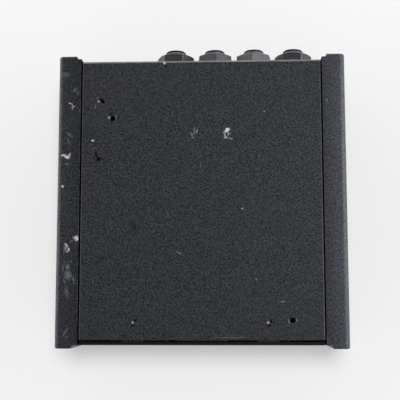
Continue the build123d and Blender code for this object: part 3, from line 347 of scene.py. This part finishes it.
        pale = a.marks([(58.35, 46.10, 0.50, 0.40, -40, 0.34), (58.9, 45.2, 0.30, 0.70, 20, 0.26), (59.4, 22.9, 0.35, 0.35, 0, 0.12)], w, 0.6)
        base = a.mix(a.math("MULTIPLY", pale, a.up()), base, (0.25, 0.25, 0.26))
    # painted shade: the ledge under the sheets and the inside of the rail are painted near black, rough and almost
    # without specular, so that the gap reads dark
    x = a.math("ABSOLUTE", a.xyz()[0])
    gap_shade = a.ramp(x, 0.05650, 0.05657, 1.0, 0.0)
    base = a.mix(gap_shade, base, (0.0035, 0.0035, 0.0038))
    rough = a.math("MAXIMUM", rough, a.math("MULTIPLY", gap_shade, 0.85))
    a.link(base, a.bsdf.inputs["Base Color"])
    a.link(rough, a.bsdf.inputs["Roughness"])
    a.link(a.math("MULTIPLY", a.ramp(tone, 0.38, 0.62, 0.25, 0.65), a.ramp(gap_shade, 0.0, 1.0, 1.0, 0.04)), a.bsdf.inputs["Specular IOR Level"])
    a.link(a.bump(height, 0.00008), a.bsdf.inputs["Normal"])
    return a


assign(rail_coat("rail_paint_left", True), "left_side_rail")
assign(rail_coat("rail_paint_right", False), "right_side_rail")


# ------------------------------------------------------------------ other finishes
def plastic(name, lo, hi, scale=900, rough=(0.38, 0.5), bump=0.00003, spec=0.5, speck=None):
    a = Mat(name)
    n = a.noise(scale, 3.0, 0.6)
    big = a.noise(scale / 9, 2.0, 0.5)
    base = a.mix(a.ramp(n, 0.3, 0.7), lo, hi)
    if speck:
        base = a.mix(a.ramp(a.voronoi(scale * 1.3), 0.0, 0.16, 0.5, 0.0), base, speck)
    a.link(base, a.bsdf.inputs["Base Color"])
    a.link(a.ramp(big, 0.3, 0.7, rough[0], rough[1]), a.bsdf.inputs["Roughness"])
    a.bsdf.inputs["Specular IOR Level"].default_value = spec
    a.link(a.bump(n, bump), a.bsdf.inputs["Normal"])
    return a


def metal(name, lo, hi, rough=(0.25, 0.4), grain=(900, 900, 60), bump=0.00002, metallic=1.0):
    a = Mat(name)
    mp = a.add("ShaderNodeMapping")
    mp.inputs["Scale"].default_value = grain
    a.link(a.co, mp.inputs["Vector"])
    n = a.noise(1.0, 4.0, 0.6, co=mp.outputs[0])
    big = a.noise(140, 3.0, 0.6)
    a.link(a.mix(a.ramp(big, 0.3, 0.7), lo, hi), a.bsdf.inputs["Base Color"])
    a.link(a.ramp(n, 0.3, 0.7, rough[0], rough[1]), a.bsdf.inputs["Roughness"])
    a.bsdf.inputs["Metallic"].default_value = metallic
    a.link(a.bump(n, bump), a.bsdf.inputs["Normal"])
    return a


nut = plastic("nut_moulded_plastic", (0.020, 0.020, 0.022), (0.034, 0.034, 0.037), 1100, (0.32, 0.42), 0.00002)
ny = nut.warp(0.0003, 900)
# painted highlights: pale vertical lines on corners of nuts 1 and 4; painted shade: dark vertical lines on nuts 2 and 3
# (next line)
nut_corner_highlight = nut.marks([(-9.10, 69.3, 0.24, 2.5, 0, 0.50), (47.80, 69.3, 0.24, 2.5, 0, 0.60), (-18.10, 69.0, 0.24, 2.4, 0, 0.40), (-19.2, 68.4, 0.7, 0.6, 0, 0.5)], ny, 0.5)
nut_corner_shade = nut.marks([(6.90, 69.8, 0.36, 3.4, 0, 0.95), (23.70, 69.8, 0.32, 3.4, 0, 0.85)], ny, 0.5)
nc = nut.mix(nut.ramp(nut.noise(1100, 3.0), 0.3, 0.7), (0.020, 0.020, 0.022), (0.034, 0.034, 0.037))
nc = nut.mix(nut.math("MULTIPLY", nut.ramp(nut.noise(300, 4.0, 0.7), 0.50, 0.68), 0.30), nc, (0.075, 0.075, 0.078))
nc = nut.mix(nut.math("MULTIPLY", nut_corner_highlight, nut.up()), nc, (0.24, 0.24, 0.245))
nc = nut.mix(nut.math("MULTIPLY", nut_corner_shade, nut.up()), nc, (0.003, 0.003, 0.003))
nut.link(nc, nut.bsdf.inputs["Base Color"])
for nm, wd in (("jack_hex_nuts", 0.00012),):
    bv = nodes[nm].modifiers.new("worn_edges", "BEVEL")
    bv.width, bv.segments, bv.limit_method, bv.angle_limit = wd, 2, "ANGLE", math.radians(35)
jackp = plastic("jack_moulded_plastic", (0.018, 0.018, 0.019), (0.030, 0.030, 0.032), 1100, (0.36, 0.5), 0.00003)
assign(nut, "jack_hex_nuts")
jy = jackp.xyz()[1]
# painted highlight: the band round the first thread crest in front of the nut is painted pale
crest = jackp.math("MULTIPLY", jackp.ramp(jy, 0.07285, 0.07293), jackp.ramp(jy, 0.07340, 0.07332))
crest = jackp.math("MULTIPLY", crest, jackp.ramp(jackp.noise(420, 3.0, 0.6), 0.35, 0.60, 0.45, 1.0))
# painted shade: everything beyond it, the second crest and the barrel tip, is painted near black with low specular
tip = jackp.ramp(jy, 0.07338, 0.07346)
jc = jackp.mix(jackp.ramp(jackp.noise(1100, 3.0), 0.3, 0.7), (0.018, 0.018, 0.019), (0.030, 0.030, 0.032))
jc = jackp.mix(crest, jc, (0.26, 0.26, 0.27))
jc = jackp.mix(tip, jc, (0.006, 0.006, 0.006))
jackp.link(jackp.ramp(tip, 0.0, 1.0, 0.5, 0.12), jackp.bsdf.inputs["Specular IOR Level"])
jackp.link(jc, jackp.bsdf.inputs["Base Color"])
assign(jackp, "input_1_jack_body", "thru_1_jack_body", "input_2_jack_body", "thru_2_jack_body")
assign(plastic("insert_plastic", (0.012, 0.012, 0.012), (0.020, 0.020, 0.021), 900, (0.4, 0.55)), "output_socket_inserts")
assign(plastic("slider_plastic", (0.020, 0.020, 0.021), (0.034, 0.034, 0.036), 1300, (0.3, 0.42)),
       "pad_1_slider", "pad_2_slider", "ground_lift_1_slider", "ground_lift_2_slider")
assign(plastic("switch_base_laminate", (0.16, 0.085, 0.035), (0.25, 0.14, 0.06), 700, (0.45, 0.6)), "pad_switch_bases", "ground_lift_switch_bases")
assign(plastic("board_solder_mask", (0.010, 0.075, 0.028), (0.016, 0.11, 0.042), 260, (0.25, 0.4), 0.00002), "circuit_board")
assign(plastic("winding_tape", (0.55, 0.38, 0.05), (0.66, 0.48, 0.09), 180, (0.3, 0.45), 0.00004), "transformer_windings")
assign(plastic("carrier_plastic", (0.02, 0.02, 0.02), (0.035, 0.035, 0.035), 800, (0.4, 0.55)), "transformer_carriers")
assign(plastic("resistor_body", (0.10, 0.28, 0.42), (0.15, 0.36, 0.52), 900, (0.25, 0.4)), "pad_resistors")
assign(plastic("capacitor_body", (0.36, 0.03, 0.02), (0.46, 0.05, 0.03), 500, (0.15, 0.3)), "film_capacitors")
assign(plastic("header_nylon", (0.66, 0.63, 0.54), (0.76, 0.73, 0.64), 600, (0.35, 0.5)), "wire_headers")
assign(plastic("wire_insulation", (0.42, 0.02, 0.02), (0.52, 0.035, 0.03), 700, (0.3, 0.45)), "output_1_wires", "output_2_wires", "pad_switch_wires")
assign(metal("socket_shell_black", (0.034, 0.034, 0.037), (0.052, 0.052, 0.056), (0.28, 0.40), (700, 700, 700), 0.00003, 0.35),
       "output_1_socket_shell", "output_2_socket_shell")
assign(metal("screw_black_oxide", (0.060, 0.060, 0.066), (0.110, 0.110, 0.120), (0.24, 0.38), (900, 900, 900), 0.00002, 0.75),
       "jack_panel_screws", "output_panel_screws", "output_socket_screws", "pad_switch_screws", "ground_lift_switch_screws", "bracket_screws")
assign(plastic("bracket_black_paint", (0.006, 0.006, 0.006), (0.011, 0.011, 0.012), 900, (0.5, 0.7)), "inner_angle_brackets")
assign(metal("zinc_steel", (0.50, 0.50, 0.49), (0.66, 0.65, 0.62), (0.28, 0.45)), "pad_switch_frames", "ground_lift_switch_frames", "board_screws")
rv = metal("rivet_aluminium", (0.55, 0.54, 0.53), (0.72, 0.71, 0.69), (0.35, 0.5), (600, 600, 600), metallic=0.35)
tin = rv.mix(rv.ramp(rv.xyz()[0], -0.002, 0.002), (0.46, 0.46, 0.46), (0.62, 0.53, 0.42))
rv.link(rv.mix(rv.ramp(rv.noise(900, 3.0), 0.35, 0.6, 0.0, 0.6), tin, (0.10, 0.07, 0.05)), rv.bsdf.inputs["Base Color"])
assign(rv, "bracket_rivets")
assign(metal("washer_dark_steel", (0.05, 0.05, 0.055), (0.10, 0.10, 0.11), (0.3, 0.45), (600, 600, 600)), "jack_washers")
assign(metal("spring_plated", (0.66, 0.64, 0.58), (0.78, 0.76, 0.70), (0.16, 0.28)), "jack_tip_springs", "jack_sleeve_springs")
assign(metal("pin_silver", (0.62, 0.60, 0.54), (0.80, 0.78, 0.72), (0.16, 0.3), (500, 500, 500)), "output_socket_pins")
assign(metal("post_brass", (0.52, 0.36, 0.12), (0.68, 0.50, 0.20), (0.22, 0.36)), "board_posts")
assign(metal("core_laminations", (0.10, 0.10, 0.105), (0.20, 0.20, 0.21), (0.4, 0.6), (100, 2600, 100), 0.00006, 0.8), "transformer_cores")
assign(metal("shield_can_steel", (0.42, 0.43, 0.45), (0.56, 0.57, 0.59), (0.22, 0.38)), "transformer_shield_cans")

# ------------------------------------------------------------------ small mesh details
def lathe(name, cx, cz, profile, mat, steps=72):
    """Closed ring around a line parallel to Y; profile is (radius, y) in mm."""
    bm = bmesh.new()
    rings = []
    for i in range(steps):
        t = 2 * math.pi * i / steps
        rings.append([bm.verts.new(((cx + r * math.cos(t)) / 1000, y / 1000, (cz + r * math.sin(t)) / 1000)) for r, y in profile])
    n = len(profile)
    for i in range(steps):
        a, b = rings[i], rings[(i + 1) % steps]
        for k in range(n):
            bm.faces.new((a[k], a[(k + 1) % n], b[(k + 1) % n], b[k]))
    bmesh.ops.recalc_face_normals(bm, faces=bm.faces)
    me = bpy.data.meshes.new(name)
    bm.to_mesh(me)
    bm.free()
    o = bpy.data.objects.new(name, me)
    bpy.context.collection.objects.link(o)
    me.materials.append(mat.m)
    for p in me.polygons:
        p.use_smooth = False
    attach(o, "case")
    return o


# the washers lie on the jack panel in one row, so their box gives the four jack axes
wa_lo, wa_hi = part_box("jack_washers")
washer_r = (wa_hi.z - wa_lo.z) / 2
nut_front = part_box("jack_hex_nuts")[1].y * 1000
for i in range(4):
    x = (wa_lo.x + washer_r + i * (wa_hi.x - wa_lo.x - 2 * washer_r) / 3) * 1000
    z = (wa_lo.z + washer_r) * 1000
    # crests of the barrel thread that stand clear of the nut
    for k, y in enumerate((nut_front + 0.34, nut_front + 0.94)):
        lathe("jack_%d_thread_crest_%d" % (i + 1, k + 1), x, z, [(4.66, y - 0.24), (4.88, y - 0.03), (4.88, y + 0.03), (4.66, y + 0.24)], jackp)

# ------------------------------------------------------------------ stage and light
floor_mesh = bpy.data.meshes.new("floor")
s = 3.0
floor_mesh.from_pydata([(-s, -s, -0.0002), (s, -s, -0.0002), (s, s, -0.0002), (-s, s, -0.0002)], [], [(0, 1, 2, 3)])
floor = bpy.data.objects.new("floor", floor_mesh)
bpy.context.collection.objects.link(floor)
fm = Mat("floor_paper")
fn = fm.noise(3.0, 2.0, 0.5)
fm.link(fm.mix(fn, (0.450, 0.450, 0.452), (0.470, 0.470, 0.472)), fm.bsdf.inputs["Base Color"])
fm.bsdf.inputs["Emission Color"].default_value = (1.0, 1.0, 1.0, 1.0)
# painted light: the floor glows, at 0.33 near the object rising to 0.98 far out, so that it reads as paper sweeping up
# into the white surround
fr = fm.add("ShaderNodeVectorMath", operation="LENGTH")
fm.link(fm.co, fr.inputs[0])
fm.link(fm.ramp(fr.outputs["Value"], 0.35, 1.3, 0.33, 0.98), fm.bsdf.inputs["Emission Strength"])
fm.bsdf.inputs["Roughness"].default_value = 0.8
fm.bsdf.inputs["Specular IOR Level"].default_value = 0.1
floor.data.materials.append(fm.m)


def area(name, pos, aim, size, size_y, power, color=(1, 1, 1), table="both"):
    d = bpy.data.lights.new(name, "AREA")
    d.shape = "RECTANGLE"
    d.size, d.size_y = size, size_y
    d.energy = power
    d.color = color
    o = bpy.data.objects.new(name, d)
    bpy.context.collection.objects.link(o)
    o.location = pos
    o.rotation_euler = (Vector(aim) - Vector(pos)).to_track_quat("-Z", "Y").to_euler()
    o.visible_camera = False
    if table != "both":
        # flagged so that it lights only the table, or only what stands on it
        group = bpy.data.collections.new(name + "_receivers")
        group.objects.link(floor)
        if table == "off":
            group.collection_objects[0].light_linking.link_state = "EXCLUDE"
        o.light_linking.receiver_collection = group
    return o


# overhead bank that whitens the table, side and rear boxes that model the object
area("table_bank", (0.08, 0.15, 1.25), (0, 0, 0), 0.44, 0.32, 12.8, table="only")
area("table_wash_rear", (0.0, 0.23, 0.14), (0, 0.14, 0), 0.60, 0.05, 0.20, table="only")
area("table_wash_front", (0.0, -0.21, 0.12), (0, -0.13, 0), 0.60, 0.05, 0.11, table="only")
area("right_softbox", (0.58, 0.10, 0.56), (0.03, 0, 0.03), 0.42, 0.50, 5.1, (0.96, 0.985, 1.03), table="off")
area("left_softbox", (-0.66, 0.10, 0.46), (-0.03, 0, 0.03), 0.45, 0.50, 1.5, (0.96, 0.98, 1.0), table="off")
area("rear_panel", (0.0, 0.90, 0.27), (0, 0.05, 0.03), 1.2, 0.30, 4.8, table="off")
area("right_strip", (0.80, 0.0, 0.08), (0.06, 0, 0.03), 1.2, 0.12, 1.5, table="off")
area("left_strip", (-0.80, 0.0, 0.08), (-0.06, 0, 0.03), 1.2, 0.12, 2.3, table="off")
world = bpy.data.worlds.new("studio")
world.use_nodes = True
wt = world.node_tree
wc = wt.nodes.new("ShaderNodeTexCoord")
ws = wt.nodes.new("ShaderNodeSeparateXYZ")
wt.links.new(wc.outputs["Generated"], ws.inputs[0])
wr = wt.nodes.new("ShaderNodeValToRGB")
wt.links.new(ws.outputs[2], wr.inputs[0])
for i, (pos, v) in enumerate(((0.0, 1.0), (0.35, 0.62), (0.7, 0.22), (1.0, 0.10))):
    e = wr.color_ramp.elements[i] if i < 2 else wr.color_ramp.elements.new(pos)
    e.position = pos
    e.color = (0.95 * v, 0.97 * v, 1.0 * v, 1.0)
wt.links.new(wr.outputs[0], wt.nodes["Background"].inputs[0])
wt.nodes["Background"].inputs[1].default_value = 1.15
bpy.context.scene.world = world
